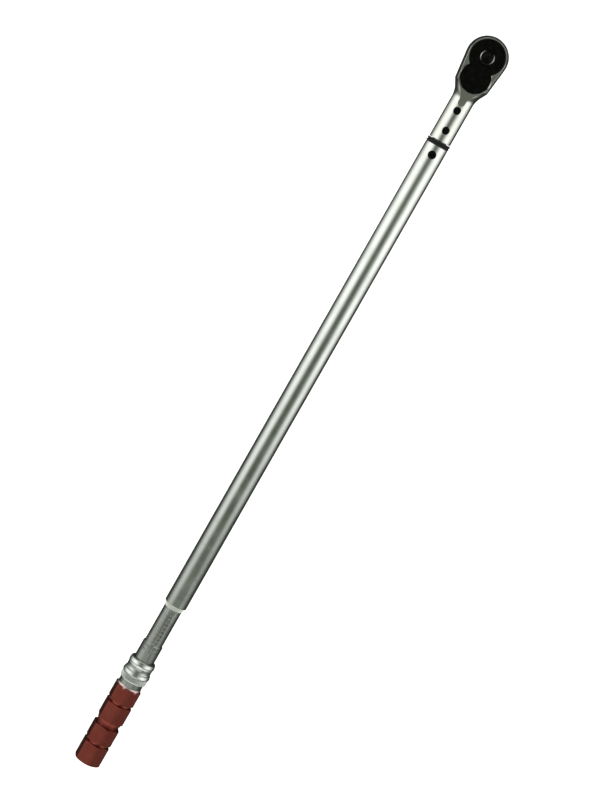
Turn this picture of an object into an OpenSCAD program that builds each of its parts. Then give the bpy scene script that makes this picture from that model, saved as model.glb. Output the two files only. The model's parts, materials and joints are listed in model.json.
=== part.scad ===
// Click-type torque wrench with a 19.05 mm (3/4 inch) square drive.
// Frame: origin on the drive axis, on the shoulder that a socket seats against.
// +X runs along the tube to the grip, +Z towards the selector side, the square points to -Z.

/* [Ratchet head] */
// Radius of the head's round end
head_r = 28.6; // [28.2:0.1:29.5]
// Half the thickness of the head
head_half_t = 14.6; // [14.4:0.1:14.8]
// How far the head's sides draw in from its middle plane to its flats
head_draft = 3; // [2.5:0.1:3.1]
// Distance from the drive axis to the selector's axis
selector_x = 30.5; // [30.3:0.1:30.7]
// Where the head ends and the flare to the neck starts
head_end_x = 41.1; // [41:0.1:42]
// Half the head's width at that end
head_end_half_w = 24; // [23.8:0.1:24.2]

/* [Drive] */
// Side of the square
square_w = 19.05; // [18.92:0.01:19.05]
// Length of the square below the shoulder
square_l = 23; // [22.8:0.1:23.4]
// Number of ratchet teeth
gear_teeth = 36; // [36]
// Radius at the tooth tips
gear_tip_r = 20; // [19.9:0.05:20]
// How far the shoulder stands out of the head's underside
shoulder_h = 2.9; // [2.7:0.1:3.1]
// Travel of the quick-release button
release_travel = 3; // [2:0.5:3]

/* [Neck and lever] */
// Radius of the neck
neck_r = 15.4; // [15.2:0.1:15.6]
// Where the neck ends, in front of the seal ring
neck_end_x = 123; // [122.5:0.1:123]
// The two neck pins' places along the tool
neck_pin_x = [78.4, 107.9];
// Radius of the lever bar
lever_r = 10; // [9.5:0.1:10]
// Axis of the head's pivot
pivot_x = 143.8; // [143:0.1:144.5]
// End of the lever bar
lever_end_x = 219; // [218:0.5:220]
// Side of the click block
block_w = 10; // [9.5:0.1:10]

/* [Tubes] */
// Outer radius of the main tube
tube_r = 16; // [16:0.1:16.4]
// Bore radius of the main tube
tube_bore_r = 14; // [14]
// Mouth of the main tube
tube_start_x = 129.9; // [129.9:0.1:131]
// End of the main tube
tube_end_x = 843.4; // [842:0.2:845]
// Outer radius of the scale tube
scale_r = 13; // [13]
// Bore radius of the scale tube
scale_bore_r = 11; // [11]

/* [Load spring and screw] */
// Wire radius of the main spring
spring_wire_r = 2.6; // [2.4:0.1:2.6]
// Mean radius of the main spring's coils
spring_mean_r = 9.9; // [9.8:0.1:10]
// Number of coils in the main spring
spring_coils = 26; // [20:1:28]
// Pitch of the load screw
screw_pitch = 2; // [2]

/* [Grip] */
// Front edge of the thimble
thimble_x = 906.3; // [904:0.1:908]
// Front edge of the lock ring
ring_x = 932.4; // [931.6:0.1:932.6]
// Front end of the grip
grip_x = 973.9; // [973:0.1:977]
// Back end of the grip
grip_end_x = 1098.8; // [1098:0.1:1100]
// Distance across the grip's flats
grip_flats_w = 35.8; // [35.6:0.1:36.2]
// Radius over the grip's rounded corners
grip_corner_r = 20.7; // [20.6:0.1:20.9]

/* [Hidden] */
$fn = 64;
axis_z = shoulder_h + head_half_t;
top_z = axis_z + head_half_t;
fit = 0.02;
run = 0.05;
past = 1;

// Levels in the head, as heights above the shoulder
floor_z = 9.9;
gear_z = 10;
gear_h = 12;
plate_z = 22.2;
plate_top_z = 26.4;
cover_top_z = 30.5;

// Radii in the head
recess_r = 24;
pocket_r = 20.3;
journal_low_r = 16;
journal_high_r = 14;
boss_r = 9.6;
well_r = 7.5;
selector_recess_r = 20;
selector_bevel_r = 21.3;
pawl_pocket_r = 17;
shaft_r = 4.98;
shaft_bore_r = 5.04;
clip_bore_r = 8;
clip_bore_z = 4.9;
washer_h = 1;
washer_r = 19;

// The straight sides of the head touch the round end and reach the head's end
side_reach = sqrt(pow(head_end_x, 2) + pow(head_end_half_w, 2));
side_tilt = atan2(head_end_x, head_end_half_w) - acos(head_r / side_reach);

// Flare from the head to the neck: a cone, then an arc that ends along the neck
cone_end_x = 50;
cone_slope = 0.55;
cone_end_r = head_end_half_w - cone_slope * (cone_end_x - head_end_x);
flare_r = (cone_end_r - neck_r) / (1 - cos(atan(cone_slope)));
flare_end_x = cone_end_x + flare_r * sin(atan(cone_slope));
flat_end_x = 71.6;

// Ratchet teeth
tooth_root_r = gear_tip_r - 1.7;
tooth_tip_deg = 1.1;
tooth_root_deg = 3.9;
mesh_gap = 0.12;
mesh_gap_deg = 0.45;
pawl_swing = 14;
selector_swing = 60;
ball_ring_r = 6;

// Quick release
pin_bore_r = 5;
detent_r = 3;
detent_proud = 0.9;
detent_z = -11.5;
ramp_slope = detent_proud / release_travel;
detent_y = square_w / 2 + detent_proud - detent_r;
ramp_gap = 0.03;
ramp_r = detent_y - (detent_r + ramp_gap) * sqrt(1 + pow(ramp_slope, 2));

// Pins, bushes and seats along the tool
neck_pin_r = 4.5;
pivot_r = 4;
pivot_bush_r = 6;
pivot_head_r = 5.7;
block_gap = 0.05;
plunger_gap = 0.15;
plunger_x = lever_end_x + block_gap + block_w + plunger_gap;
plunger_end_x = plunger_x + 16;
spigot_r = 6.8;
spigot_l = 11;
spring_end_x = 565;
rear_seat_l = 16;
rod_r = 7;
ball_r = 5;
ball_x = 774;
nose_x = 777;
thread_x = 786;
thread_end_x = 885;
thread_r = 8;
thread_depth = 1.2;
nut_x = 803;
nut_l = 30;
nut_pin_x = 827;
scale_x = 800;
scale_end_x = 1000;

// Hub, lock ring and grip
thimble_r = 14.45;
thimble_end_x = 950;
hub_step_x = 957;
hub_r = 17.1;
hub_core_r = 15;
hub_wall_x = 1050;
hub_end_x = 1088;
ring_end_x = 965.8;
ring_bore_r = 17.2;
ring_shoulder_x = 941;
ring_clip_x = ring_x + 1.9;
narrow_groove_xs = [998.9, 1063.8];
wide_groove_x = 1029.1;
grip_screw_x = wide_groove_x + 8.2;
grip_turn = 12;

// ---- helpers: the tool's own axis lies at axis_z, along X ----

module on_axis(x = 0) {
    translate([x, 0, axis_z]) rotate([0, 90, 0]) children();
}

module rod(x0, x1, r) {
    on_axis(x0) cylinder(r = r, h = x1 - x0);
}

module pipe(x0, x1, outer_r, bore_r) {
    difference() {
        rod(x0, x1, outer_r);
        rod(x0 - past, x1 + past, bore_r);
    }
}

// Turned part: points are [radius, x]
module turned(points) {
    on_axis() rotate_extrude() polygon(points);
}

module post(x, z0, z1, r) {
    translate([x, 0, z0]) cylinder(r = r, h = z1 - z0);
}

module about_selector(angle) {
    translate([selector_x, 0]) rotate(angle) translate([-selector_x, 0]) children();
}

// Coil spring standing on z = 0: one closed skin around a helix
module coil(mean_r, wire_r, length, turns, steps = 14, sides = 6) {
    n = round(turns * steps);
    skin = [
        for (i = [0 : n], j = [0 : sides - 1])
            let (
                a = 360 * turns * i / n,
                b = 360 * j / sides,
                r = mean_r + wire_r * cos(b),
                z = wire_r + (length - 2 * wire_r) * i / n + wire_r * sin(b)
            )
            [r * cos(a), r * sin(a), z]
    ];
    walls = [
        for (i = [0 : n - 1], j = [0 : sides - 1], half = [0, 1])
            let (
                here = i * sides + j,
                side = i * sides + (j + 1) % sides,
                next = here + sides,
                across = side + sides
            )
            half == 0 ? [here, next, across] : [here, across, side]
    ];
    first = [for (j = [0 : sides - 1]) j];
    last = [for (j = [sides - 1 : -1 : 0]) n * sides + j];
    polyhedron(points = skin, faces = concat(walls, [first, last]));
}

// ---- ratchet head ----

// Half the head's section: forged sides with draft, and broken edges
module edge_profile(middle_r, half_t) {
    edge = 0.3;
    flat_r = middle_r - head_draft;
    polygon([
        [0, -half_t], [flat_r - edge, -half_t], [flat_r, edge - half_t], [middle_r, 0],
        [flat_r, half_t - edge], [flat_r - edge, half_t], [0, half_t]
    ]);
}

module head_slab() {
    translate([0, 0, axis_z]) {
        rotate_extrude() edge_profile(head_r, head_half_t);
        difference() {
            for (side = [0, 1])
                mirror([0, side, 0])
                    rotate([90, 0, 90 - side_tilt])
                        linear_extrude(2 * head_r) edge_profile(head_r - fit, head_half_t - fit);
            translate([head_end_x, -2 * head_r, -head_r]) cube([3 * head_r, 4 * head_r, 2 * head_r]);
        }
    }
}

module neck_profile() {
    inside = head_end_x - 6;
    difference() {
        polygon([
            [0, inside], [head_end_half_w - 4, inside], [head_end_half_w, head_end_x],
            [cone_end_r, cone_end_x], [cone_end_r, flare_end_x], [neck_r, flare_end_x],
            [neck_r, neck_end_x - 0.3], [neck_r - 0.3, neck_end_x], [0, neck_end_x]
        ]);
        translate([neck_r + flare_r, flare_end_x]) circle(r = flare_r, $fn = 128);
    }
}

// The head's flats run on over the flare and end round on the neck
module neck() {
    flat_half_w = sqrt(pow(neck_r, 2) - pow(head_half_t, 2)) + run;
    flat_round_x = flat_end_x - flat_half_w;
    difference() {
        on_axis() rotate_extrude() neck_profile();
        for (side = [0, 1])
            translate([0, 0, axis_z]) mirror([0, 0, side]) translate([0, 0, head_half_t]) {
                translate([0, -head_r, 0]) cube([flare_end_x, 2 * head_r, head_r]);
                translate([0, -flat_half_w, 0]) cube([flat_round_x, 2 * flat_half_w, head_r]);
                translate([flat_round_x, 0, 0]) cylinder(r = flat_half_w, h = head_r);
            }
    }
}

module neck_pin_holes(r) {
    for (x = neck_pin_x)
        post(x, axis_z - neck_r - past, axis_z + neck_r + past, r);
}

module neck_pin_sinks() {
    for (x = neck_pin_x, side = [0, 1])
        translate([x, 0, axis_z]) mirror([0, 0, side]) translate([0, 0, neck_r - 1.3])
            cylinder(r1 = neck_pin_r, r2 = neck_pin_r + 1.6, h = 1.6);
}

module head_body() {
    bevel_h = selector_bevel_r - selector_recess_r;
    color("silver") difference() {
        union() {
            head_slab();
            neck();
        }
        post(0, plate_z - 0.1, top_z + past, recess_r);
        post(0, cover_top_z + 0.1, cover_top_z + 1.2, recess_r + 0.8);
        post(0, floor_z, plate_z, pocket_r);
        post(0, floor_z - washer_h, floor_z + 0.1, washer_r);
        post(0, -past, floor_z, journal_low_r);
        post(selector_x, floor_z, plate_z, pawl_pocket_r);
        post(selector_x, plate_z - 0.1, top_z + past, selector_recess_r);
        post(selector_x, 0, floor_z + past, shaft_bore_r);
        post(selector_x, 0, clip_bore_z, clip_bore_r);
        translate([selector_x, 0, top_z - bevel_h])
            cylinder(r1 = selector_recess_r, r2 = selector_bevel_r + past, h = bevel_h + past);
        rod(64, neck_end_x + past, lever_r);
        neck_pin_holes(neck_pin_r + fit);
        neck_pin_sinks();
    }
}

module head_cover() {
    color("#141514") difference() {
        union() {
            post(0, plate_z, plate_top_z, recess_r - 0.1);
            post(selector_x, plate_z, plate_top_z, selector_recess_r - 0.1);
            difference() {
                post(0, plate_top_z - 0.5, cover_top_z, recess_r - 0.1);
                post(selector_x, plate_top_z, cover_top_z + past, selector_recess_r - 0.05);
            }
        }
        post(0, plate_z - past, plate_z + 3.2, journal_high_r);
        post(0, plate_z, cover_top_z + past, boss_r + 0.2);
        post(selector_x, plate_z - past, plate_top_z + past, shaft_bore_r);
    }
}

module cover_snap_ring() {
    open_deg = 65;
    color("#202120") rotate([0, 0, open_deg]) rotate_extrude(angle = 360 - 2 * open_deg)
        translate([recess_r - 2, cover_top_z + 0.15]) square([2.7, 1]);
}

module gear_washer() {
    color("#b08d57") difference() {
        post(0, floor_z - washer_h, floor_z, washer_r - fit);
        post(0, 0, floor_z + past, journal_low_r + 0.1);
    }
}

module lever_bar() {
    tail_half_w = 7.5;
    tail_x = 155;
    color("#8c8f8c") difference() {
        union() {
            rod(64.1, tail_x + 2, lever_r - fit);
            translate([tail_x, -tail_half_w, axis_z - tail_half_w])
                cube([lever_end_x - tail_x, 2 * tail_half_w, 2 * tail_half_w]);
        }
        neck_pin_holes(neck_pin_r + fit);
        post(pivot_x, 0, 2 * axis_z, pivot_bush_r);
    }
}

module pivot_bush() {
    color("#b08d57") difference() {
        post(pivot_x, axis_z - 7.5, axis_z + 7.5, pivot_bush_r - fit);
        post(pivot_x, 0, 2 * axis_z, pivot_r + run);
    }
}

module neck_pins() {
    dome = 0.5;
    color("#161716") for (x = neck_pin_x) {
        post(x, axis_z - neck_r + 0.9, axis_z + neck_r - 0.9, neck_pin_r);
        for (side = [0, 1])
            translate([x, 0, axis_z]) mirror([0, 0, side]) translate([0, 0, neck_r - 0.9])
                cylinder(r1 = neck_pin_r, r2 = neck_pin_r - dome, h = dome);
    }
}

// ---- drive: the gear and its square are one piece ----

function gear_points(tip_r, root_r, tip_deg, root_deg) = [
    for (i = [0 : gear_teeth - 1], corner = [[-1, 0], [-1, 1], [1, 1], [1, 0]])
        let (
            a = i * 360 / gear_teeth + corner[0] * (corner[1] == 1 ? tip_deg : root_deg),
            r = corner[1] == 1 ? tip_r : root_r
        )
        [r * cos(a), r * sin(a)]
];

module drive_square() {
    corner_r = 12.3;
    tip_chamfer = 1.5;
    intersection() {
        translate([-square_w / 2, -square_w / 2, -square_l]) cube([square_w, square_w, square_l + past]);
        rotate_extrude() polygon([
            [0, -square_l], [corner_r - tip_chamfer - 1.8, -square_l],
            [corner_r, tip_chamfer + 1.8 - square_l], [corner_r, past], [0, past]
        ]);
    }
}

module drive_gear() {
    edge = 0.6;
    boss_z = plate_z + 3.1;
    boss_top_z = 31.4;
    color("#2a2b2a") difference() {
        union() {
            drive_square();
            rotate_extrude() polygon([
                [0, 0], [journal_low_r - run - edge, 0], [journal_low_r - run, edge],
                [journal_low_r - run, gear_z + past], [0, gear_z + past]
            ]);
            translate([0, 0, gear_z]) linear_extrude(gear_h)
                polygon(gear_points(gear_tip_r, tooth_root_r, tooth_tip_deg, tooth_root_deg));
            post(0, gear_z + gear_h - past, boss_z, journal_high_r - run);
            rotate_extrude() polygon([
                [0, boss_z - past], [boss_r, boss_z - past], [boss_r, boss_top_z - 1.2],
                [boss_r - 0.4, boss_top_z - 0.4], [boss_r - 1.2, boss_top_z], [0, boss_top_z]
            ]);
        }
        post(0, 3 - square_l, top_z, pin_bore_r);
        post(0, 20, top_z, well_r);
        translate([0, 0, detent_z]) rotate([-90, 0, 0]) cylinder(r = detent_r + run, h = square_w);
    }
}

// The pin's ramp lets the ball move in as the button goes down
module release_pin() {
    big_r = pin_bore_r - run;
    ramp_low_z = detent_z - (big_r - ramp_r) / ramp_slope;
    ramp_high_z = detent_z + release_travel;
    stem_r = ramp_r - ramp_slope * release_travel;
    color("#9a9c99") rotate_extrude() polygon([
        [0, -16.9], [big_r, -16.9], [big_r, ramp_low_z],
        [stem_r, ramp_high_z], [stem_r, 29], [0, 29]
    ]);
}

module release_button() {
    button_z = 27;
    button_top_z = 31;
    dish_r = 22;
    color("#1b1c1b") difference() {
        rotate_extrude() polygon([
            [0, button_z], [well_r - run, button_z], [well_r - run, button_top_z - 0.5],
            [well_r - run - 0.5, button_top_z], [0, button_top_z]
        ]);
        translate([0, 0, button_top_z + dish_r - 0.9]) sphere(r = dish_r, $fn = 128);
        post(0, button_z - past, 29, ramp_r - ramp_slope * release_travel + fit);
    }
}

module release_spring() {
    color("#9a9c99") translate([0, 0, 20.1]) coil(6.2, 0.5, 6.8, 4, 12, 5);
}

module detent_ball() {
    color("#b9bbb8") translate([0, detent_y, detent_z]) sphere(r = detent_r);
}

// ---- selector and pawl ----

module toward_pawl_ball() {
    translate([selector_x, 0, gear_z + gear_h / 2]) rotate([0, 0, -selector_swing / 2]) rotate([0, 90, 0])
        children();
}

module selector_disc() {
    disc_r = 19.7;
    disc_z = plate_top_z + 0.2;
    disc_top_z = 31.2;
    ridge_l = 26;
    ridge_w = 4;
    edge = 0.8;
    color("#111211") difference() {
        union() {
            translate([selector_x, 0, 0]) rotate_extrude() polygon([
                [0, disc_z], [disc_r, disc_z], [disc_r, disc_top_z - edge],
                [disc_r - edge, disc_top_z], [0, disc_top_z]
            ]);
            translate([selector_x, 0, disc_top_z - 0.5]) rotate([0, 0, -selector_swing / 2])
                translate([-ridge_l / 2, -ridge_w / 2, 0]) cube([ridge_l, ridge_w, 1.3]);
            post(selector_x, 3.2, disc_z + 0.5, shaft_r);
        }
        difference() {
            post(selector_x, 3.7, 4.7, shaft_r + past);
            post(selector_x, 3, 5, shaft_r - 1.2);
        }
        toward_pawl_ball() translate([0, 0, -3.2]) cylinder(r = 2.05, h = 12);
    }
}

module selector_clip() {
    color("#3a3b3a") translate([selector_x, 0, 3.8]) rotate([0, 0, 35]) rotate_extrude(angle = 290)
        translate([shaft_r - 1.15, 0]) square([3, 0.8]);
}

module pawl_spring() {
    color("#9a9c99") toward_pawl_ball() translate([0, 0, -3.1]) coil(1.5, 0.3, 6.9, 6, 8, 5);
}

module pawl_ball() {
    color("#b9bbb8") toward_pawl_ball() translate([0, 0, ball_ring_r]) sphere(r = 2);
}

module pawl_blank() {
    back_x = 12;
    clear_half_w = 6.5;
    difference() {
        translate([selector_x, 0]) intersection() {
            circle(r = pawl_pocket_r - 0.4);
            translate([-pawl_pocket_r, -pawl_pocket_r]) square([pawl_pocket_r + back_x, 2 * pawl_pocket_r]);
        }
        intersection() {
            circle(r = pocket_r);
            translate([0, -clear_half_w]) square([pocket_r, 2 * clear_half_w]);
        }
    }
}

// The ball's room in the pawl: a fan behind the shaft
module pawl_fan() {
    fan_r = 8.7;
    fan_deg = 48;
    translate([selector_x, 0]) intersection() {
        circle(r = fan_r);
        polygon([
            [0, 0], [2 * fan_r * cos(fan_deg), -2 * fan_r * sin(fan_deg)],
            [2 * fan_r * cos(fan_deg), 2 * fan_r * sin(fan_deg)]
        ]);
    }
}

// The pawl is built at rest, half its swing to one side, and clears the gear over all its swing
module pawl() {
    mesh = gear_points(
        gear_tip_r + mesh_gap, tooth_root_r + mesh_gap,
        tooth_tip_deg + mesh_gap_deg, tooth_root_deg + mesh_gap_deg
    );
    color("#6d706c") translate([0, 0, gear_z + 0.1]) linear_extrude(gear_h - 0.2) difference() {
        about_selector(-pawl_swing / 2) difference() {
            pawl_blank();
            pawl_fan();
        }
        for (swing = [0 : 1 : pawl_swing])
            about_selector(-swing) polygon(mesh);
        translate([selector_x, 0]) circle(r = shaft_bore_r);
    }
}

// ---- click mechanism ----

module toggle_block() {
    color("#b9bbb8") translate([lever_end_x + block_gap, -block_w / 2, axis_z - block_w / 2])
        cube(block_w);
}

module plunger() {
    color("#8c8f8c") difference() {
        union() {
            rod(plunger_x, plunger_end_x, tube_bore_r - run);
            rod(plunger_end_x - past, plunger_end_x + spigot_l, spigot_r);
        }
        rod(plunger_x - past, plunger_x + 3, 8);
    }
}

module plunger_seat() {
    color("#5d605c") rod(plunger_x, plunger_x + 3, 8 - fit);
}

module main_spring() {
    color("#4a4d4a") on_axis(plunger_end_x + 0.1)
        coil(spring_mean_r, spring_wire_r, spring_end_x - plunger_end_x - 0.2, spring_coils);
}

// ---- tube and what is fixed in it ----

module main_tube() {
    bevel = 0.7;
    color("#d9dbd8") difference() {
        turned([
            [tube_bore_r, tube_start_x], [tube_r - bevel, tube_start_x], [tube_r, tube_start_x + bevel],
            [tube_r, tube_end_x - bevel], [tube_r - bevel, tube_end_x], [tube_bore_r, tube_end_x]
        ]);
        post(pivot_x, axis_z - tube_r - past, axis_z + tube_r + past, pivot_r + fit);
        for (side = [0, 1])
            translate([pivot_x, 0, axis_z]) mirror([0, 0, side]) translate([0, 0, tube_r - 1.1])
                cylinder(r = pivot_head_r + run, h = 2);
    }
}

module mouth_bush() {
    color("#8c8f8c") pipe(123.8, 137.5, tube_bore_r - fit, 12.6);
}

// Two ribs on a rubber ring
module seal_ring() {
    x0 = 123.7;
    x1 = tube_start_x - fit;
    rib_r = 16.4;
    base_r = 15.5;
    rib_l = (x1 - x0) / 5;
    color("#121312") turned([
        [tube_bore_r, x0], [base_r, x0], [rib_r, x0 + 0.5 * rib_l], [rib_r, x0 + 1.7 * rib_l],
        [base_r, x0 + 2.2 * rib_l], [base_r, x0 + 2.8 * rib_l], [rib_r, x0 + 3.3 * rib_l],
        [rib_r, x0 + 4.5 * rib_l], [base_r, x1], [tube_bore_r, x1]
    ]);
}

module button_head(socket_w) {
    difference() {
        rotate_extrude() polygon([
            [0, tube_r - 1.1], [pivot_head_r, tube_r - 1.1], [pivot_head_r, tube_r - 0.3],
            [pivot_head_r - 0.5, tube_r + 0.3], [pivot_head_r - 1.7, tube_r + 0.7], [0, tube_r + 0.7]
        ]);
        translate([0, 0, tube_r - 0.6]) cylinder(d = socket_w / cos(30), h = 2, $fn = 6);
    }
}

module pivot_screw() {
    color("#1d1e1d") translate([pivot_x, 0, axis_z]) {
        button_head(5);
        difference() {
            translate([0, 0, -tube_r + 1.3]) cylinder(r = pivot_r, h = 2 * tube_r - 2.3);
            translate([0, 0, -tube_r]) cylinder(r = 2.5, h = 12);
        }
    }
}

module pivot_nut() {
    color("#1d1e1d") translate([pivot_x, 0, axis_z]) mirror([0, 0, 1]) {
        button_head(5);
        translate([0, 0, tube_r - 10]) cylinder(r = 2.5 - fit, h = 9);
    }
}

module end_bush() {
    color("#e8e8e0") turned([
        [scale_r + fit, 822], [tube_bore_r - fit, 822], [tube_bore_r - fit, tube_end_x],
        [scale_r + 0.5, tube_end_x], [scale_r + 0.5, tube_end_x + 5.2], [scale_r + fit, tube_end_x + 5.8]
    ]);
}

module tube_adapter() {
    color("#8c8f8c") pipe(scale_x - 4, scale_x + 16, tube_bore_r - fit, scale_r + fit);
}

module nut_pin_holes(r) {
    for (side = [0, 1])
        translate([nut_pin_x, 0, axis_z]) mirror([0, 0, side])
            translate([0, 0, 9.2]) cylinder(r = r, h = 3.7);
}

module scale_tube() {
    color("#c9ccc8") difference() {
        pipe(scale_x, scale_end_x, scale_r, scale_bore_r);
        nut_pin_holes(2 + fit);
    }
}

module load_nut() {
    color("#b08d57") difference() {
        pipe(nut_x, nut_x + nut_l, scale_bore_r - fit, thread_r + 0.1);
        nut_pin_holes(2 + fit);
    }
}

module nut_pins() {
    color("#6d706c") nut_pin_holes(2);
}

// ---- carriage: pushed along by the screw, doesn't turn ----

module rear_spring_seat() {
    color("#8c8f8c") difference() {
        union() {
            rod(spring_end_x, spring_end_x + rear_seat_l, tube_bore_r - 0.1);
            rod(spring_end_x - spigot_l, spring_end_x + past, spigot_r);
        }
        rod(spring_end_x + 6, spring_end_x + rear_seat_l + past, rod_r + fit);
    }
}

module push_rod() {
    collar_x = 757;
    collar_end_x = 771;
    color("#8c8f8c") difference() {
        union() {
            rod(spring_end_x + 6, collar_x + past, rod_r);
            rod(collar_x, collar_end_x, tube_bore_r - 0.1);
        }
        on_axis(ball_x) sphere(r = ball_r + fit);
    }
}

module thrust_ball() {
    color("#b9bbb8") on_axis(ball_x) sphere(r = ball_r);
}

// ---- what turns with the grip ----

function thread_points() = [
    for (i = [0 : (thread_end_x - thread_x) / screw_pitch - 1], half = [0, 1])
        [thread_r - half * thread_depth, thread_x + (i + 0.5 * half + 0.25) * screw_pitch]
];

module load_screw() {
    nose_r = 6;
    shank_r = 6.5;
    collar_r = 10;
    stud_r = 6;
    color("#8c8f8c") difference() {
        turned(concat(
            [[0, nose_x], [nose_r, nose_x], [nose_r, thread_x]],
            thread_points(),
            [
                [shank_r, thread_end_x], [shank_r, hub_wall_x - 4], [collar_r, hub_wall_x - 4],
                [collar_r, hub_wall_x], [shank_r, hub_wall_x], [shank_r, hub_wall_x + 11],
                [stud_r, hub_wall_x + 11], [stud_r, hub_wall_x + 26], [0, hub_wall_x + 26]
            ]
        ));
        on_axis(ball_x) sphere(r = ball_r + run);
    }
}

module hub_washer() {
    color("#8c8f8c") pipe(hub_wall_x + 12, hub_wall_x + 14, 11, 6 + fit);
}

module hub_nut() {
    color("#6d706c") difference() {
        on_axis(hub_wall_x + 14) cylinder(d = 19 / cos(30), h = 10, $fn = 6);
        rod(hub_wall_x, hub_wall_x + 30, 6 + fit);
    }
}

module grip_screw_holes(r) {
    for (turn = [150, 210])
        translate([grip_screw_x, 0, axis_z]) rotate([turn, 0, 0])
            translate([0, 0, 13.4]) cylinder(r = r, h = 3.6);
}

module grip_hub() {
    color("#c9ccc8") difference() {
        turned([
            [scale_r + 0.1, thimble_end_x], [thimble_r, thimble_end_x], [thimble_r, hub_step_x],
            [hub_r, hub_step_x], [hub_r, grip_x + 2], [hub_core_r, grip_x + 2], [hub_core_r, hub_end_x],
            [12, hub_end_x], [12, hub_wall_x + 12], [6.5 + fit, hub_wall_x + 12],
            [6.5 + fit, hub_wall_x], [scale_r + 0.1, hub_wall_x]
        ]);
        grip_screw_holes(2.5 + fit);
    }
}

// Four slits make the thimble's back end a collet, which the lock ring squeezes on the scale tube
module thimble() {
    slit_w = 1.2;
    slit_x = 941;
    groove_x = ring_x + 0.7;
    color("#b4b8b3") difference() {
        turned([
            [scale_r + run, thimble_x], [thimble_r - 0.7, thimble_x], [thimble_r, thimble_x + 0.8],
            [thimble_r, groove_x], [thimble_r - 0.6, groove_x], [thimble_r - 0.6, groove_x + 1],
            [thimble_r, groove_x + 1], [thimble_r, thimble_end_x], [scale_r + run, thimble_end_x]
        ]);
        for (turn = [0, 90])
            translate([slit_x, 0, axis_z]) rotate([45 + turn, 0, 0])
                translate([0, -slit_w / 2, -hub_r]) cube([thimble_end_x - slit_x - 2, slit_w, 2 * hub_r]);
    }
}

module lock_clip() {
    color("#3a3b3a") on_axis(ring_x + 0.8) rotate([0, 0, 30]) rotate_extrude(angle = 330)
        translate([thimble_r - 0.55, 0]) square([1.2, 0.8]);
}

module lock_spring() {
    color("#9a9c99") on_axis(ring_shoulder_x + 0.1)
        coil(15.65, 0.65, hub_step_x - ring_shoulder_x - 0.2, 5, 20, 5);
}

// Points on an arc of a turned outline, as [radius, x]
function arc(centre, r, from, to, steps = 8) = [
    for (i = [0 : steps])
        let (a = from + (to - from) * i / steps)
        [centre[0] + r * cos(a), centre[1] + r * sin(a)]
];

// A round lip, a hollow waist and a knurled band behind a high shoulder
module lock_ring() {
    lip_r = 18.95;
    waist_r = 18;
    shoulder_r = 20.1;
    band_r = 19.4;
    lip_x = ring_x + 8.6;
    slope_x = ring_x + 20.4;
    band_x = ring_x + 26;
    color("#aeb3ad") turned([
        [thimble_r + run, ring_clip_x], [thimble_r + 1.2, ring_clip_x], [thimble_r + 1.2, ring_x],
        [waist_r - 1.6, ring_x + 0.4], [waist_r - 0.1, ring_x + 2.6], [lip_r, lip_x],
        [lip_r - 0.2, lip_x + 1], [waist_r + 0.1, lip_x + 2.8], [waist_r, ring_x + 15],
        [waist_r + 0.2, ring_x + 18.6], [waist_r + 1.2, slope_x], [shoulder_r, slope_x + 4.8],
        [shoulder_r - 0.2, slope_x + 5.2], [band_r, band_x], [band_r, ring_end_x - 0.8],
        [band_r - 0.8, ring_end_x], [ring_bore_r, ring_end_x],
        [ring_bore_r, ring_shoulder_x], [thimble_r + run, ring_shoulder_x]
    ]);
}

// Outline that trims the six-sided bar: chamfered grooves and a rounded end
module grip_outline() {
    end_r = 3.5;
    front_w = 2.6;
    narrow = [
        for (x = narrow_groove_xs)
            [[grip_corner_r, x + 0.6], [18.3, x + 3], [16.9, x + 4.9], [grip_corner_r, x + 5.7]]
    ];
    wide = [
        [grip_corner_r, wide_groove_x], [18.8, wide_groove_x + 1.6], [17.8, wide_groove_x + 3],
        [16.7, wide_groove_x + 6.2], [16.2, wide_groove_x + 6.5], [16.2, wide_groove_x + 10.3],
        [grip_corner_r, wide_groove_x + 11.6]
    ];
    turned(concat(
        [[0, grip_x], [hub_r + 0.4, grip_x], [hub_r + 0.9, grip_x + front_w]],
        [[grip_corner_r, grip_x + front_w]],
        narrow[0], wide, narrow[1],
        arc([grip_corner_r - end_r, grip_end_x - end_r], end_r, 0, 90),
        [[0, grip_end_x]]
    ));
}

module grip() {
    color("#8a2f2a") difference() {
        intersection() {
            on_axis(grip_x) rotate([0, 0, -grip_turn])
                cylinder(d = grip_flats_w / cos(30), h = grip_end_x - grip_x, $fn = 6);
            grip_outline();
        }
        rod(grip_x - past, grip_x + 2.1, hub_r + fit);
        rod(grip_x - past, hub_end_x + 0.1, hub_core_r + fit);
        rod(hub_end_x, grip_end_x + past, 13);
        translate([grip_screw_x, 0, axis_z]) for (turn = [150, 210])
            rotate([turn, 0, 0]) translate([0, 0, 10]) cylinder(r = 2.5 + fit, h = 15);
    }
}

module grip_screws() {
    color("#1d1e1d") difference() {
        grip_screw_holes(2.5);
        for (turn = [150, 210])
            translate([grip_screw_x, 0, axis_z]) rotate([turn, 0, 0]) translate([0, 0, 15.5])
                cylinder(d = 2.5 / cos(30), h = 3, $fn = 6);
    }
}

module end_cap() {
    color("#161716") turned([
        [0, hub_end_x + 0.2], [13 - fit, hub_end_x + 0.2], [13 - fit, grip_end_x - 0.9],
        [12.4, grip_end_x - 0.3], [0, grip_end_x - 0.3]
    ]);
}

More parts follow.
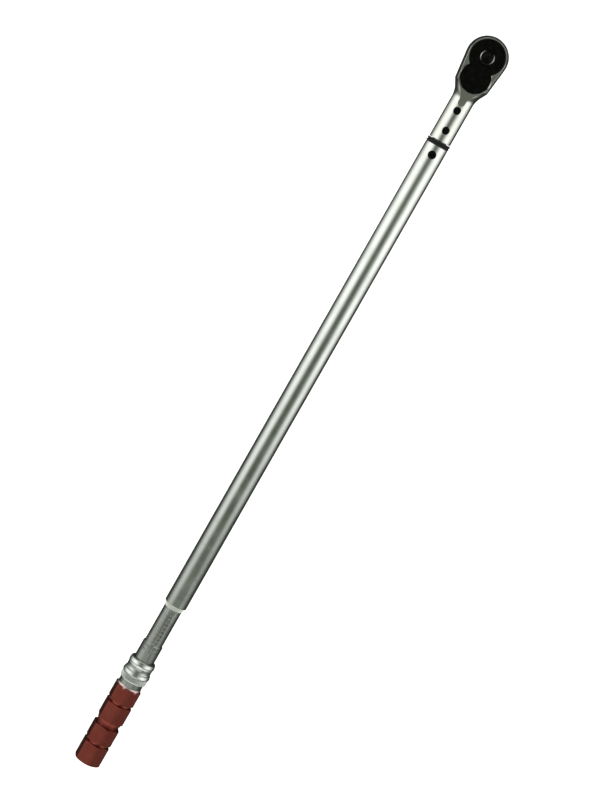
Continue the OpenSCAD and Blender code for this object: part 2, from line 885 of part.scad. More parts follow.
head_body();
head_cover();
cover_snap_ring();
gear_washer();
lever_bar();
pivot_bush();
neck_pins();
drive_gear();
release_pin();
release_button();
release_spring();
detent_ball();
selector_disc();
selector_clip();
pawl_spring();
pawl_ball();
pawl();
toggle_block();
plunger();
plunger_seat();
main_spring();
main_tube();
mouth_bush();
seal_ring();
pivot_screw();
pivot_nut();
end_bush();
tube_adapter();
scale_tube();
load_nut();
nut_pins();
rear_spring_seat();
push_rod();
thrust_ball();
load_screw();
hub_washer();
hub_nut();
grip_hub();
thimble();
lock_clip();
lock_spring();
lock_ring();
grip();
grip_screws();
end_cap();
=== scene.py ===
"""A click-type torque wrench lying on a pale floor, seen from above as in a catalogue picture.

The CAD model is the frame. This script gives every CAD node its material, replaces the lock
ring and the grip by finer meshes with a cut knurl and rolled edges, puts copies of three springs
in their place, and adds the marks of the scale. All lengths are in metres, in the CAD model's own frame.
"""
import json
import math

import bmesh
import bpy
from mathutils import Matrix, Vector


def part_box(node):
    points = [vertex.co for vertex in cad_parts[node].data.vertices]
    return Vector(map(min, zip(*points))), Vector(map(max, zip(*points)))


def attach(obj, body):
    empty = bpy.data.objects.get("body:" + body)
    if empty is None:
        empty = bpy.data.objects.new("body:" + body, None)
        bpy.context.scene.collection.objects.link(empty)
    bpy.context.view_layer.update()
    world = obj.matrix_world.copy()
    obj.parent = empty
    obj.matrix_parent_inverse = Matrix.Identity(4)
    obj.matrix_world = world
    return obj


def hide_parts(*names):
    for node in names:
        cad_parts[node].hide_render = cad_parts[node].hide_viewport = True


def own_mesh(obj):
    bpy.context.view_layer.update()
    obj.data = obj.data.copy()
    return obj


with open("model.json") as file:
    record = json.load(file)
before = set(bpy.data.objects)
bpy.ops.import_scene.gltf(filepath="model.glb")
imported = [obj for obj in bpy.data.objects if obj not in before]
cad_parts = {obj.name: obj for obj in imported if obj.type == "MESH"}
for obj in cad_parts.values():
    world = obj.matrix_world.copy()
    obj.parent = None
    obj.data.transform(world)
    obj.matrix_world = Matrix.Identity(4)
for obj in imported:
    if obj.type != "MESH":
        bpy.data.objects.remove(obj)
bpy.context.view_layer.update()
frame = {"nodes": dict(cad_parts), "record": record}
nodes = frame["nodes"]

MM = 0.001


# ---------------------------------------------------------------- places, from the frame

def low(node):
    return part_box(node)[0]


def high(node):
    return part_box(node)[1]


def half_height(node):
    return (high(node).z - low(node).z) / 2


AXIS_Z = (low("main_tube").z + high("main_tube").z) / 2
SCALE_R = half_height("scale_tube")
THIMBLE_R = half_height("thimble")
THIMBLE_START = low("thimble").x
RING_START, RING_END = low("lock_ring").x, high("lock_ring").x
GRIP_START, GRIP_END = low("grip").x, high("grip").x
SCREWS_X = (low("grip_screws").x + high("grip_screws").x) / 2
DRIVE_TIP_Z = low("drive_gear").z
GRIP_LOW_Z = low("grip").z
BOSS_R, BOSS_TOP_Z = 9.6 * MM, high("drive_gear").z
RING_STEP = RING_START + 8.6 * MM


# ---------------------------------------------------------------- materials

class Nodes:
    """Short ways to add pattern nodes to a node tree."""

    def __init__(self, tree):
        self.tree = tree

    def node(self, kind, **inputs):
        made = self.tree.nodes.new(kind)
        for name, value in inputs.items():
            made.inputs[name.replace("_", " ")].default_value = value
        return made

    def link(self, output, target):
        self.tree.links.new(output, target)

    def ranged(self, value, start, end, low_out, high_out, smooth=False):
        """value mapped from start..end to low_out..high_out, and held there."""
        mapped = self.node("ShaderNodeMapRange")
        mapped.interpolation_type = "SMOOTHSTEP" if smooth else "LINEAR"
        numbers = (("From Min", start), ("From Max", end), ("To Min", low_out), ("To Max", high_out))
        for name, number in numbers:
            mapped.inputs[name].default_value = number
        self.link(value, mapped.inputs["Value"])
        return mapped.outputs["Result"]

    def math(self, operation, a, b=0.0):
        node = self.node("ShaderNodeMath")
        node.operation = operation
        for socket, value in zip(node.inputs, (a, b)):
            if isinstance(value, (int, float)):
                socket.default_value = value
            else:
                self.link(value, socket)
        return node.outputs["Value"]

    def axes(self, coordinates):
        """X, Y and Z of one of the texture coordinates."""
        split = self.node("ShaderNodeSeparateXYZ")
        self.link(self.node("ShaderNodeTexCoord").outputs[coordinates], split.inputs["Vector"])
        return [split.outputs[axis] for axis in "XYZ"]

    def distance(self, a, b):
        """Length of the flat vector (a, b)."""
        squares = [self.math("MULTIPLY", side, side) for side in (a, b)]
        return self.math("SQRT", self.math("ADD", *squares))

    def mixed(self, factor, colour_a, colour_b):
        mix = self.node("ShaderNodeMix")
        mix.data_type = "RGBA"
        for index, colour in ((6, colour_a), (7, colour_b)):
            if isinstance(colour, tuple):
                mix.inputs[index].default_value = (*colour, 1)
            else:
                self.link(colour, mix.inputs[index])
        self.link(factor, mix.inputs[0])
        return mix.outputs[2]


class Shader(Nodes):
    """A material with one Principled shader."""

    def __init__(self, name, colour, roughness, metallic=0.0):
        self.material = bpy.data.materials.new(name)
        self.material.use_nodes = True
        super().__init__(self.material.node_tree)
        self.shader = self.tree.nodes["Principled BSDF"]
        self.set("Base Color", (*colour, 1))
        self.set("Roughness", roughness)
        self.set("Metallic", metallic)
        self.material.diffuse_color = (*colour, 1)
        self.height = None

    def set(self, socket, value):
        self.shader.inputs[socket].default_value = value

    def noise(self, per_metre, detail=3.0, rough=0.55, stretch=(1, 1, 1)):
        """Noise over the object's own coordinates, which are in metres."""
        mapping = self.node("ShaderNodeMapping", Scale=stretch)
        self.link(self.node("ShaderNodeTexCoord").outputs["Object"], mapping.inputs["Vector"])
        noise = self.node("ShaderNodeTexNoise", Scale=per_metre, Detail=detail, Roughness=rough)
        self.link(mapping.outputs["Vector"], noise.inputs["Vector"])
        return noise.outputs["Fac"]

    def colour(self, output):
        self.link(output, self.shader.inputs["Base Color"])

    def roughness(self, output):
        self.link(output, self.shader.inputs["Roughness"])

    def bump(self, output, depth, strength=1.0):
        """Adds a layer of relief, depth metres high."""
        bump = self.node("ShaderNodeBump", Strength=strength, Distance=depth)
        self.link(output, bump.inputs["Height"])
        if self.height:
            self.link(self.height, bump.inputs["Normal"])
        self.height = bump.outputs["Normal"]
        self.link(self.height, self.shader.inputs["Normal"])


def plated(name, colour, base_rough, haze, grind, grind_depth):
    """Chrome plate: handling haze in the gloss, grinding marks along one direction, small nicks."""
    s = Shader(name, colour, base_rough, metallic=1.0)
    smudge = s.noise(28, detail=5, rough=0.62)
    fine = s.noise(900, detail=2, stretch=grind)
    hazed = s.ranged(smudge, 0.38, 0.72, base_rough, base_rough + haze)
    s.roughness(s.math("ADD", hazed, s.ranged(fine, 0.4, 0.8, 0, 0.05)))
    dull = tuple(0.9 * c for c in colour)
    s.colour(s.mixed(s.ranged(s.noise(55, detail=6), 0.45, 0.75, 0, 1), colour, dull))
    s.bump(fine, grind_depth)
    nicks = s.noise(420, detail=1, rough=0.4)
    s.bump(s.ranged(nicks, 0.74, 0.8, 1, 0), 0.02 * MM, 0.4)
    return s.material


def blackened(name, colour, rough, worn_glint_from=None):
    """Black oxide on steel: satin with a faint mottle. Above the given height the boss rim turns to a
    lighter metal at its two sides only, where the screens light it: partly wear, partly painted highlight.
    """
    s = Shader(name, colour, rough, metallic=1.0)
    mottle = s.noise(160, detail=5)
    grain = s.noise(2600, detail=2)
    s.roughness(s.ranged(mottle, 0.3, 0.7, rough - 0.07, rough + 0.1))
    # rubbed is the lighter metal of the boss rim: partly wear, partly a painted highlight.
    lighter, rubbed = tuple(1.5 * c for c in colour), (0.75, 0.75, 0.72)
    black = s.mixed(s.ranged(mottle, 0.45, 0.85, 0, 1), colour, lighter)
    if worn_glint_from:
        x, y, z = s.axes("Object")
        out = s.ranged(s.distance(x, y), BOSS_R - 1.3 * MM, BOSS_R - 1.1 * MM, 0, 1)
        up = s.ranged(z, worn_glint_from, worn_glint_from + 0.1 * MM, 0, 1)
        # Painted highlight: the lighter rim is kept to the two sides of the boss, where the screens light
        # it.
        glint_sides = s.ranged(s.math("ABSOLUTE", y), 0.6 * BOSS_R, 0.85 * BOSS_R, 0, 1)
        black = s.mixed(s.math("MULTIPLY", glint_sides, s.math("MULTIPLY", out, up)), black, rubbed)
    s.colour(black)
    s.bump(grain, 0.01 * MM, 0.5)
    return s.material


def bare(name, colour, rough, lines):
    """Machined metal: tool marks across one direction and a slight stain."""
    s = Shader(name, colour, rough, metallic=1.0)
    stain = s.noise(90, detail=5)
    marks = s.noise(1200, detail=1, stretch=lines)
    s.roughness(s.ranged(marks, 0.3, 0.7, rough - 0.06, rough + 0.08))
    s.colour(s.mixed(s.ranged(stain, 0.4, 0.8, 0, 1), colour, tuple(0.72 * c for c in colour)))
    s.bump(marks, 0.012 * MM, 0.6)
    return s.material


def anodised(name):
    """Red anodised aluminium: turning lines under an uneven dye, with a bare ring at the front."""
    red, deep, rubbed = (0.33, 0.08, 0.058), (0.25, 0.053, 0.04), (0.48, 0.17, 0.13)
    bare_front = (0.85, 0.68, 0.66)
    s = Shader(name, red, 0.34, metallic=1.0)
    cloud = s.noise(46, detail=5)
    turning = s.noise(1500, detail=2, stretch=AROUND)
    specks = s.noise(700, detail=3)
    base = s.mixed(s.ranged(cloud, 0.35, 0.7, 0, 1), red, deep)
    dyed = s.mixed(s.ranged(specks, 0.66, 0.8, 0, 0.5), base, rubbed)
    x, y, z = s.axes("Object")
    out = s.distance(y, s.math("SUBTRACT", z, AXIS_Z))
    cut_back = s.ranged(out, 17.9 * MM, 17.7 * MM, 0, 1)
    front = s.ranged(x, GRIP_START + 7 * MM, GRIP_START + 6 * MM, 0, 1)
    s.colour(s.mixed(s.math("MULTIPLY", cut_back, front), dyed, bare_front))
    satin = s.ranged(cloud, 0.3, 0.7, 0.3, 0.4)
    s.roughness(s.math("ADD", satin, s.ranged(turning, 0.35, 0.7, 0, 0.08)))
    s.bump(turning, 0.012 * MM, 0.7)
    s.bump(specks, 0.01 * MM, 0.3)
    return s.material


def moulded(name, colour, rough, grain_per_metre, grain_depth):
    """Rubber or plastic: a fine moulded grain and dust in the gloss."""
    s = Shader(name, colour, rough)
    grain = s.noise(grain_per_metre, detail=3)
    dust = s.noise(120, detail=5)
    dusty = tuple(0.9 * c + 0.006 for c in colour)
    s.colour(s.mixed(s.ranged(dust, 0.4, 0.75, 0, 1), colour, dusty))
    s.roughness(s.ranged(dust, 0.35, 0.7, rough - 0.05, rough + 0.1))
    s.bump(grain, grain_depth)
    return s.material


def filled_mark(name):
    """Black filler in the engraved marks, worn thin here and there."""
    black, thin = (0.02, 0.02, 0.018), (0.09, 0.09, 0.08)
    s = Shader(name, black, 0.6)
    worn = s.noise(900, detail=3)
    s.colour(s.mixed(s.ranged(worn, 0.55, 0.8, 0, 1), black, thin))
    s.roughness(s.ranged(worn, 0.3, 0.7, 0.5, 0.7))
    s.bump(worn, 0.01 * MM)
    return s.material


ALONG, AROUND = (0.02, 1, 1), (1, 0.03, 0.03)

MATERIALS = {
    "chrome": plated("chrome", (0.74, 0.76, 0.7), 0.08, 0.06, ALONG, 0.002 * MM),
    "tube_chrome": plated("tube_chrome", (0.78, 0.81, 0.76), 0.14, 0.08, AROUND, 0.002 * MM),
    "scale_chrome": plated("scale_chrome", (0.66, 0.69, 0.65), 0.19, 0.05, AROUND, 0.003 * MM),
    "knurled": plated("knurled", (0.76, 0.79, 0.75), 0.2, 0.08, AROUND, 0.002 * MM),
    "black_oxide": blackened("black_oxide", (0.016, 0.016, 0.015), 0.3),
    # The drive gear's black oxide, with a painted highlight on the sides of its boss rim.
    "worn_black_glints": blackened("worn_black_glints", (0.016, 0.016, 0.015), 0.3, BOSS_TOP_Z - 1.3 * MM),
    "steel": bare("steel", (0.52, 0.53, 0.51), 0.3, AROUND),
    "spring_steel": bare("spring_steel", (0.28, 0.29, 0.29), 0.35, AROUND),
    "bearing_steel": bare("bearing_steel", (0.72, 0.73, 0.72), 0.14, ALONG),
    "bronze": bare("bronze", (0.68, 0.48, 0.27), 0.34, AROUND),
    "rubber": moulded("rubber", (0.008, 0.008, 0.008), 0.6, 2200, 0.02 * MM),
    "nylon": moulded("nylon", (0.82, 0.85, 0.76), 0.42, 1500, 0.008 * MM),
    "red_anodised": anodised("red_anodised"),
    "black_plastic": moulded("black_plastic", (0.01, 0.01, 0.01), 0.4, 1800, 0.02 * MM),
    "mark": filled_mark("mark"),
}


def finish_cad_nodes():
    """Each CAD node takes the material of its slot in the record; the drive gear takes the black oxide with
    a painted highlight on the sides of its boss rim.
    """
    for part in frame["record"]["subparts"]:
        data = nodes[part["node"]].data
        data.materials.clear()
        # The drive gear gets the black oxide with the painted highlight on its boss rim.
        worn = part["node"] == "drive_gear"
        data.materials.append(MATERIALS["worn_black_glints" if worn else part["material_slot"]])


# ---------------------------------------------------------------- springs

def coiled(node, body, slot):
    """A copy of a CAD spring with its own material, on its body, in place of the hidden CAD spring."""
    data = nodes[node].data.copy()
    made = bpy.data.objects.new(node + "_coils", data)
    data.materials.clear()
    data.materials.append(MATERIALS[slot])
    bpy.context.scene.collection.objects.link(made)
    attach(made, body)
    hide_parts(node)
    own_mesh(made)


def springs():
    """The three springs that a slide shortens."""
    along, upright, steel = (1, 0, 0), (0, 0, 1), "spring_steel"
    coiled("main_spring", "tube", steel)
    coiled("release_spring", "drive", steel)
    coiled("lock_spring", "handle", steel)


# ---------------------------------------------------------------- turned pieces

COLUMNS = 240


def ring_of_points(x, radius_at):
    """COLUMNS points round the tool's axis at x. Angle 0 is up, and grows towards +Y."""
    points = []
    for i in range(COLUMNS):
        angle = 2 * math.pi * i / COLUMNS
        r = radius_at(angle)
        points.append((x, r * math.sin(angle), AXIS_Z + r * math.cos(angle)))
    return points


def round_ring(x, r):
    return ring_of_points(x, lambda angle: r)


def skin_of_rings(rings, cut_rows=()):
    """A closed skin over rings whose last joins the first. Cut rows are split on alternate diagonals."""
    mesh = bmesh.new()
    rows = [[mesh.verts.new(p) for p in ring] for ring in rings]
    for k, row in enumerate(rows):
        after = rows[(k + 1) % len(rows)]
        for i in range(COLUMNS):
            j = (i + 1) % COLUMNS
            corners = (row[i], row[j], after[j], after[i])
            if k in cut_rows:
                odd = (i + k - cut_rows.start) % 2
                for first in (odd, odd + 2):
                    mesh.faces.new([corners[(first + n) % 4] for n in range(3)])
            else:
                mesh.faces.new(corners)
    bmesh.ops.recalc_face_normals(mesh, faces=mesh.faces)
    return mesh


def piece(name, mesh, material, body, sharp=32):
    """A new piece from a bmesh, on its body: smooth but for edges over sharp degrees."""
    data = bpy.data.meshes.new(name)
    mesh.to_mesh(data)
    mesh.free()
    data.shade_smooth()
    data.set_sharp_from_angle(angle=math.radians(sharp))
    data.materials.append(MATERIALS[material])
    made = bpy.data.objects.new(name, data)
    bpy.context.scene.collection.objects.link(made)
    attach(made, body)
    return made


def arc(centre_x, centre_r, radius, start, end, steps):
    """Points (x, r) on an arc. Angles are in degrees, from straight outwards towards +X."""
    points = []
    for i in range(steps + 1):
        a = math.radians(start + (end - start) * i / steps)
        points.append((centre_x + radius * math.sin(a), centre_r + radius * math.cos(a)))
    return points


def eased(outline, back=0.25 * MM):
    """The outline with each inner corner cut to a small round, so that the edges catch the light."""
    points = [outline[0]]
    for before, here, after in zip(outline, outline[1:], outline[2:]):
        before, here, after = Vector(before), Vector(here), Vector(after)
        a = here + (before - here).normalized() * min(back, (before - here).length / 3)
        b = here + (after - here).normalized() * min(back, (after - here).length / 3)
        for t in (0, 0.33, 0.67, 1):
            points.append(tuple(a * (1 - t) ** 2 + here * 2 * t * (1 - t) + b * t ** 2))
    points.append(outline[-1])
    return points


def lock_ring():
    """A sloping lip, a plain waist, a second slope to the shoulder, and a band cut with a diamond knurl."""
    bore_r, throat_r, clip_r = 17.2 * MM, THIMBLE_R + 0.05 * MM, THIMBLE_R + 1.2 * MM
    lip_r, waist_r, shoulder_r = 18.95 * MM, 18 * MM, 20.1 * MM
    lip_x, slope_x, knurl_x = RING_START + 6.6 * MM, RING_START + 19 * MM, RING_START + 24.4 * MM
    knurl_r, knurl_deep, knurl_rows = 19.4 * MM, 0.45 * MM, 9
    root_r, bevel = knurl_r - knurl_deep, 0.7 * MM
    front = eased([
        (RING_START, clip_r), (RING_START + 0.4 * MM, waist_r - 1.6 * MM),
        (RING_START + 1.6 * MM, waist_r + 0.1 * MM), (lip_x, lip_r), (lip_x + 1.2 * MM, lip_r - 0.1 * MM),
        (lip_x + 3.4 * MM, waist_r + 0.1 * MM), (RING_START + 14 * MM, waist_r),
        (RING_START + 17.2 * MM, waist_r + 0.2 * MM), (slope_x, waist_r + 1.3 * MM),
        (slope_x + 4 * MM, shoulder_r), (slope_x + 4.4 * MM, shoulder_r - 0.2 * MM),
        (slope_x + 4.8 * MM, root_r), (knurl_x, root_r),
    ], 0.5 * MM)[:-1]
    front = [round_ring(x, r) for x, r in front]
    row_w = (RING_END - bevel - knurl_x) / knurl_rows

    def knurled(row):
        def radius_at(angle):
            column = round(angle * COLUMNS / (2 * math.pi))
            peak = (column + row) % 2 == 1 and 0 < row < knurl_rows
            return knurl_r if peak else root_r
        return ring_of_points(knurl_x + row_w * row, radius_at)

    band = [knurled(row) for row in range(knurl_rows + 1)]
    back = eased([(RING_END - bevel, root_r), (RING_END, knurl_r - bevel), (RING_END, bore_r),
                  (RING_STEP, bore_r), (RING_STEP, throat_r),
                  (RING_START + 1.9 * MM, throat_r), (RING_START + 1.9 * MM, clip_r),
                  (RING_START + 0.1 * MM, clip_r)], 0.15 * MM)[1:]
    rings = front + band + [round_ring(x, r) for x, r in back]
    cut_rows = range(len(front), len(front) + knurl_rows)
    made = piece("knurled_lock_ring", skin_of_rings(rings, cut_rows), "knurled", "lock", 26)
    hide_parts("lock_ring")


# ---------------------------------------------------------------- grip

GRIP_FLAT_R = 17.9 * MM
GRIP_CORNER_TURN = math.radians(12)
CORNER_ROUND = 4.2 * MM


def six_sided(angle):
    """Radius of a six-sided bar with round corners, one of them at GRIP_CORNER_TURN."""
    sixth, half = math.radians(60), math.radians(30)
    off_corner = abs((angle - GRIP_CORNER_TURN + half) % sixth - half)
    centre = (GRIP_FLAT_R - CORNER_ROUND) / math.cos(half)
    tangent = math.atan2(CORNER_ROUND * math.sin(half), centre + CORNER_ROUND * math.cos(half))
    if off_corner < tangent:
        across = centre * math.sin(off_corner)
        return centre * math.cos(off_corner) + math.sqrt(CORNER_ROUND ** 2 - across ** 2)
    return GRIP_FLAT_R / math.cos(half - off_corner)


def flat_share(angle):
    """1 at the middle of a flat, 0 at a corner."""
    sixth = math.radians(60)
    return 0.5 - 0.5 * math.cos(((angle - GRIP_CORNER_TURN) % sixth) / sixth * 2 * math.pi)


def soft_least(a, b, blend):
    """The lesser of a and b, rounded over where they cross."""
    h = min(1, max(0, 0.5 + 0.5 * (b - a) / blend))
    return b + (a - b) * h - blend * h * (1 - h)


def between(outline, x):
    """Radius of an outline of (x, r) points at x."""
    for (x0, r0), (x1, r1) in zip(outline, outline[1:]):
        if x <= x1:
            return r0 + (r1 - r0) * (x - x0) / max(x1 - x0, 1e-9)
    return outline[-1][1]


def grip():
    """The red six-sided grip: turned grooves, a wide groove over the grub screws, and rounded ends."""
    corner_r, gap_r, end_round = 20.7 * MM, 16.2 * MM, 3.5 * MM
    hub_r, core_r, cap_r = 17.12 * MM, 15.02 * MM, 13 * MM
    narrow = (GRIP_START + 25 * MM, GRIP_START + 89.9 * MM)
    wide = SCREWS_X - 8.2 * MM
    hex_start = GRIP_START + 2.6 * MM
    outline = [(GRIP_START, hub_r + 0.2 * MM), (hex_start, hub_r + 0.72 * MM),
               (hex_start + 0.3 * MM, corner_r)]
    grooves = [
        [(x, corner_r), (x + 1.2 * MM, 18.6 * MM), (x + 2 * MM, 17.9 * MM), (x + 4.9 * MM, 16.95 * MM),
         (x + 5.2 * MM, corner_r)]
        for x in narrow
    ]
    wide_groove = [(wide, corner_r), (wide + 1 * MM, 18.6 * MM), (wide + 1.7 * MM, 17.9 * MM),
                   (wide + 6.2 * MM, 16.7 * MM), (wide + 6.5 * MM, gap_r), (wide + 10.3 * MM, gap_r),
                   (wide + 11.6 * MM, corner_r)]
    outline += grooves[0] + wide_groove + grooves[1]
    outline += arc(GRIP_END - end_round, corner_r - end_round, end_round, 0, 90, 8)

    edges = [x for x, r in outline]
    stations = [GRIP_START]
    while stations[-1] < GRIP_END:
        nearest = min(abs(stations[-1] - x) for x in edges)
        stations.append(stations[-1] + (0.2 * MM if nearest < 1.2 * MM else 0.75 * MM))
    stations[-1] = GRIP_END
    dip_l, dip = 7 * MM, 0.6 * MM

    def trimmed(x):
        def radius_at(angle):
            share = flat_share(angle)
            front = max(0, 1 - (x - GRIP_START) / dip_l)
            bar = six_sided(angle) - dip * share * front ** 2
            return soft_least(bar, between(outline, x), 0.25 * MM)
        return ring_of_points(x, radius_at)

    cap_x, hub_x = GRIP_END - 10.8 * MM, GRIP_START + 2.1 * MM
    inner = [(GRIP_END, cap_r + 0.5 * MM), (GRIP_END - 0.5 * MM, cap_r), (cap_x, cap_r),
             (cap_x, core_r), (hub_x, core_r), (hub_x, hub_r), (GRIP_START, hub_r)]
    rings = [trimmed(x) for x in stations] + [round_ring(x, r) for x, r in inner]
    made = piece("red_grip", skin_of_rings(rings), "red_anodised", "handle", 40)
    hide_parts("grip")
    drill(made, SCREWS_X, 2.52 * MM, (150, 210))


def drill(target, x, radius, turns):
    """Cuts round holes into a piece, square to the tool's axis, turned by degrees from straight up."""
    wall_r, deep = 17 * MM, 12 * MM
    mesh = bmesh.new()
    for turn in turns:
        a = math.radians(turn)
        out = Vector((0, math.sin(a), math.cos(a)))
        turned = out.to_track_quat("Z", "Y").to_matrix().to_4x4()
        place = Matrix.Translation(Vector((x, 0, AXIS_Z)) + out * wall_r) @ turned
        bmesh.ops.create_cone(mesh, cap_ends=True, segments=48, radius1=radius, radius2=radius,
                              depth=deep, matrix=place)
    data = bpy.data.meshes.new("drill")
    mesh.to_mesh(data)
    mesh.free()
    cutter = bpy.data.objects.new("drill", data)
    bpy.context.scene.collection.objects.link(cutter)
    cut = target.modifiers.new("holes", "BOOLEAN")
    cut.object = cutter
    cut.solver = "EXACT"
    bpy.context.view_layer.update()
    graph = bpy.context.evaluated_depsgraph_get()
    cut_mesh = bpy.data.meshes.new_from_object(target.evaluated_get(graph))
    target.modifiers.clear()
    target.data = cut_mesh
    target.data.set_sharp_from_angle(angle=math.radians(40))
    bpy.data.objects.remove(cutter)


# ---------------------------------------------------------------- marks of the scale

MARK_PROUD, MARK_SUNK = 0.02 * MM, 0.08 * MM


def on_tube(points, tube_r, level, x0, turn):
    """Flat points (u along the tool, v round it) laid on a tube, at level above its surface."""
    laid = []
    for u, v in points:
        angle = turn + v / tube_r
        r = tube_r + level
        laid.append((x0 + u, r * math.sin(angle), AXIS_Z + r * math.cos(angle)))
    return laid


def add_stroke(mesh, tube_r, x0, turn, u0, u1, v0, v1):
    """A filled engraved line: a thin curved plate from u0 to u1 along the tool and v0 to v1 round it."""
    steps = max(1, math.ceil((v1 - v0) / (0.5 * MM)))
    edge = [v0 + (v1 - v0) * n / steps for n in range(steps + 1)]
    outline = [(u0, v) for v in edge] + [(u1, v) for v in reversed(edge)]
    top = [mesh.verts.new(p) for p in on_tube(outline, tube_r, MARK_PROUD, x0, turn)]
    under = [mesh.verts.new(p) for p in on_tube(outline, tube_r, -MARK_SUNK, x0, turn)]
    count = len(outline)
    for n in range(steps):
        quad = (n, n + 1, count - 2 - n, count - 1 - n)
        mesh.faces.new([top[i] for i in quad])
        mesh.faces.new([under[i] for i in reversed(quad)])
    for i in range(count):
        j = (i + 1) % count
        mesh.faces.new((top[j], top[i], under[i], under[j]))


def add_number(mesh, text, size, tube_r, x0, turn):
    """Digits laid round the tube, centred on x0 and turn."""
    curve = bpy.data.curves.new("digits", "FONT")
    curve.body = text
    curve.size = size
    curve.align_x, curve.align_y = "CENTER", "CENTER"
    curve.extrude = (MARK_PROUD + MARK_SUNK) / 2
    curve.resolution_u = 3
    holder = bpy.data.objects.new("digits", curve)
    bpy.context.scene.collection.objects.link(holder)
    bpy.context.view_layer.update()
    graph = bpy.context.evaluated_depsgraph_get()
    flat = bpy.data.meshes.new_from_object(holder.evaluated_get(graph))
    part = bmesh.new()
    part.from_mesh(flat)
    bmesh.ops.remove_doubles(part, verts=part.verts, dist=1e-7)
    reach = size * len(text) / 2
    cut = -reach
    while cut < reach:
        everything = part.verts[:] + part.edges[:] + part.faces[:]
        bmesh.ops.bisect_plane(part, geom=everything, plane_co=(cut, 0, 0), plane_no=(1, 0, 0))
        cut += 0.5 * MM
    for v in part.verts:
        level = v.co.z + (MARK_PROUD - MARK_SUNK) / 2
        v.co = on_tube([(-v.co.y, v.co.x)], tube_r, level, x0, turn)[0]
    joined = bpy.data.meshes.new("digits")
    part.to_mesh(joined)
    part.free()
    mesh.from_mesh(joined)
    bpy.data.objects.remove(holder)
    for spare in (flat, joined):
        bpy.data.meshes.remove(spare)
    bpy.data.curves.remove(curve)


def torque_scale():
    """Lines and numbers along the scale tube, from 100 at the thimble to 900 at the bush."""
    mesh = bmesh.new()
    turn, line_w, step = math.radians(-2), 0.35 * MM, 6 * MM
    first_x = THIMBLE_START - 4 * MM
    count = 9
    for n in range(count):
        x0 = first_x - step * n
        add_stroke(mesh, SCALE_R, x0, turn, -line_w / 2, line_w / 2, -4.6 * MM, 0)
        add_number(mesh, str(100 * (n + 1)), 3.4 * MM, SCALE_R, x0, turn + 3.4 * MM / SCALE_R)
        if n < count - 1:
            for tick in range(1, 5):
                x_tick = x0 - step * tick / 5
                add_stroke(mesh, SCALE_R, x_tick, turn, -line_w / 3, line_w / 3, -2.8 * MM, 0)
    half_w, index_turn = line_w / 2, math.radians(-30)
    add_stroke(mesh, SCALE_R, first_x, turn, -step * (count - 1) - half_w, half_w, -half_w, half_w)
    add_stroke(mesh, SCALE_R, first_x, index_turn, -step * count, 2 * MM, -half_w, half_w)
    made = piece("scale_marks", mesh, "mark", "tube")


def thimble_marks():
    """Fifty graduations round the thimble's front, numbered at every fifth."""
    mesh = bmesh.new()
    fine_w, start = 0.45 * MM, THIMBLE_START + 0.8 * MM
    count = 50
    for n in range(count):
        turn = 2 * math.pi * n / count
        reach = 5.6 * MM if n % 5 == 0 else 4.2 * MM
        add_stroke(mesh, THIMBLE_R, start, turn, 0, reach, -fine_w / 2, fine_w / 2)
        if n % 5 == 0:
            add_number(mesh, str(2 * n), 4.2 * MM, THIMBLE_R, start + 8.6 * MM, turn)
    made = piece("thimble_marks", mesh, "mark", "handle")


# ---------------------------------------------------------------- camera, light, floor

def camera_above():
    """Almost straight above the head, with the tool running down to the left."""
    data = bpy.data.cameras.new("camera")
    data.lens = 90
    data.sensor_width = 36
    data.clip_end = 20
    camera = bpy.data.objects.new("camera", data)
    roll, slant = math.radians(2), math.radians(29.685)
    side, height = 3.6 * MM, 2.651
    place = Vector((0.1158, side - height * math.sin(roll), AXIS_Z + height * math.cos(roll)))
    target = Vector((0.5167, side, AXIS_Z))
    ahead = (target - place).normalized()
    along = (Vector((1, 0, 0)) - ahead * ahead.x).normalized()
    across = along.cross(ahead)
    right = -math.sin(slant) * along + math.cos(slant) * across
    up = -math.cos(slant) * along - math.sin(slant) * across
    camera.matrix_world = Matrix((
        (right.x, up.x, -ahead.x, place.x),
        (right.y, up.y, -ahead.y, place.y),
        (right.z, up.z, -ahead.z, place.z),
        (0, 0, 0, 1),
    ))
    bpy.context.scene.collection.objects.link(camera)
    bpy.context.scene.camera = camera


# How bright each screen looks at each tilt from straight up, in degrees
NEAR_SCREEN = ((0, 0), (12, 0.01), (21, 0.09), (30, 0.38), (40, 0.76), (52, 0.98), (62, 1), (72, 0.92),
               (84, 0.66), (98, 0.3), (113, 0.07), (135, 0), (180, 0))
FAR_SCREEN = ((0, 0), (17, 0.01), (26, 0.09), (36, 0.32), (46, 0.68), (57, 0.96), (68, 1), (80, 0.8),
              (92, 0.42), (107, 0.09), (122, 0), (180, 0))
# How bright each screen is where a direction leans so far to +X
NEAR_LIGHT = ((-1, 0.6), (-0.5, 0.6), (-0.34, 0.1), (-0.24, 0.1), (-0.14, 1.3), (0.09, 1.3),
              (0.13, 1.12), (0.2, 0.8), (0.24, 0.6), (0.27, 0.33), (0.29, 0.22), (0.45, 0.2),
              (0.6, 0.5), (1, 0.5))
FAR_LIGHT = ((-1, 0.6), (-0.5, 0.6), (-0.34, 0.1), (-0.24, 0.1), (-0.14, 1.3), (0.09, 1.35),
             (0.13, 1.12), (0.2, 0.5), (0.24, 0.11), (0.27, 0.06), (0.45, 0.06), (0.6, 0.5),
             (1, 0.5))


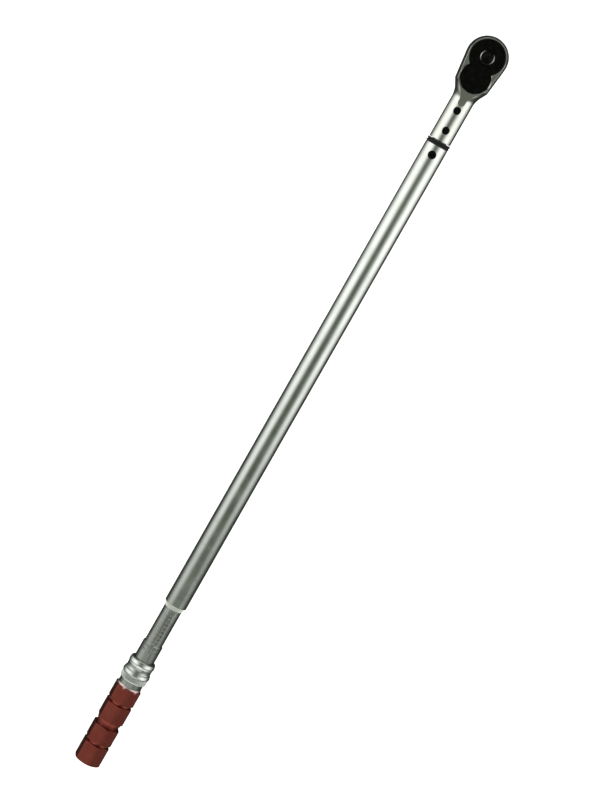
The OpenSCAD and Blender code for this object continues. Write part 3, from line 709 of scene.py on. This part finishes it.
def studio():
    """A dim room with a tall screen on each side of the tool, brightest abreast of its head."""
    world = bpy.data.worlds.new("studio")
    world.use_nodes = True
    n = Nodes(world.node_tree)
    x, y, z = n.axes("Generated")
    tilt = n.math("ARCCOSINE", n.math("DIVIDE", z, n.distance(y, z)))
    softness = n.ranged(x, 0.03, 0.2, 0.45, 1)

    def curved(value, start, end, points):
        """value from start to end, sent through straight stretches between points."""
        curve = n.node("ShaderNodeFloatCurve")
        drawn = curve.mapping.curves[0].points
        while len(drawn) < len(points):
            drawn.new(0.5, 0.5)
        for made, (place, height) in zip(drawn, points):
            made.location = ((place - start) / (end - start), height / 2)
            made.handle_type = "VECTOR"
        curve.mapping.update()
        n.link(n.ranged(value, start, end, 0, 1), curve.inputs["Value"])
        return n.math("MULTIPLY", curve.outputs["Value"], 2)

    def screen(shape, light):
        seen = n.math("POWER", curved(n.math("MULTIPLY", tilt, 180 / math.pi), 0, 180, shape), softness)
        return n.math("MULTIPLY", seen, curved(x, -1, 1, light))

    near_share = n.ranged(y, 0.02, -0.02, 0, 1)
    far_share = n.math("SUBTRACT", 1, near_share)
    near = n.math("MULTIPLY", screen(NEAR_SCREEN, NEAR_LIGHT), near_share)
    far = n.math("MULTIPLY", screen(FAR_SCREEN, FAR_LIGHT), far_share)
    behind_grip = n.ranged(x, 0.42, 0.7, 0, 0.45, smooth=True)
    straight_up = n.ranged(tilt, 0.6, 0.42, 0, 1, smooth=True)
    overhead = n.math("MULTIPLY", n.ranged(x, 0.3, 0.33, 0, 0.5), straight_up)
    lights = n.math("ADD", n.math("ADD", near, far), n.math("ADD", behind_grip, overhead))
    room = n.mixed(n.ranged(z, -0.4, 0.2, 0, 1), (0.035, 0.04, 0.035), (0.09, 0.101, 0.077))
    add = n.node("ShaderNodeVectorMath")
    add.operation = "ADD"
    n.link(room, add.inputs[0])
    n.link(lights, add.inputs[1])
    n.link(add.outputs["Vector"], n.tree.nodes["Background"].inputs["Color"])
    bpy.context.scene.world = world
    view = bpy.context.scene.view_settings
    view.view_transform = "Standard"
    view.look = "None"


def pale_floor():
    """An evenly glowing floor, which shows no shadow, under the drive's tip and the grip's corner."""
    pale, paler = (0.9, 0.9, 0.9), (0.93, 0.93, 0.93)
    s = Shader("floor", paler, 0.9)
    mottle = s.noise(3, detail=2)
    s.colour(s.mixed(mottle, paler, pale))
    s.roughness(s.ranged(mottle, 0.3, 0.7, 0.85, 0.95))
    s.set("Emission Color", (1, 1, 1, 1))
    s.set("Emission Strength", 1.0)
    half, gap = 40, 0.2 * MM
    slope = (GRIP_LOW_Z - DRIVE_TIP_Z) / GRIP_END
    mesh = bpy.data.meshes.new("floor")
    square = ((-half, -half), (half, -half), (half, half), (-half, half))
    corners = [(x, y, DRIVE_TIP_Z - gap + slope * x) for x, y in square]
    mesh.from_pydata(corners, [], [(0, 1, 2, 3)])
    mesh.materials.append(s.material)
    floor = bpy.data.objects.new("floor", mesh)
    floor.visible_glossy = False
    bpy.context.scene.collection.objects.link(floor)


finish_cad_nodes()
springs()
lock_ring()
grip()
torque_scale()
thimble_marks()
camera_above()
studio()
pale_floor()
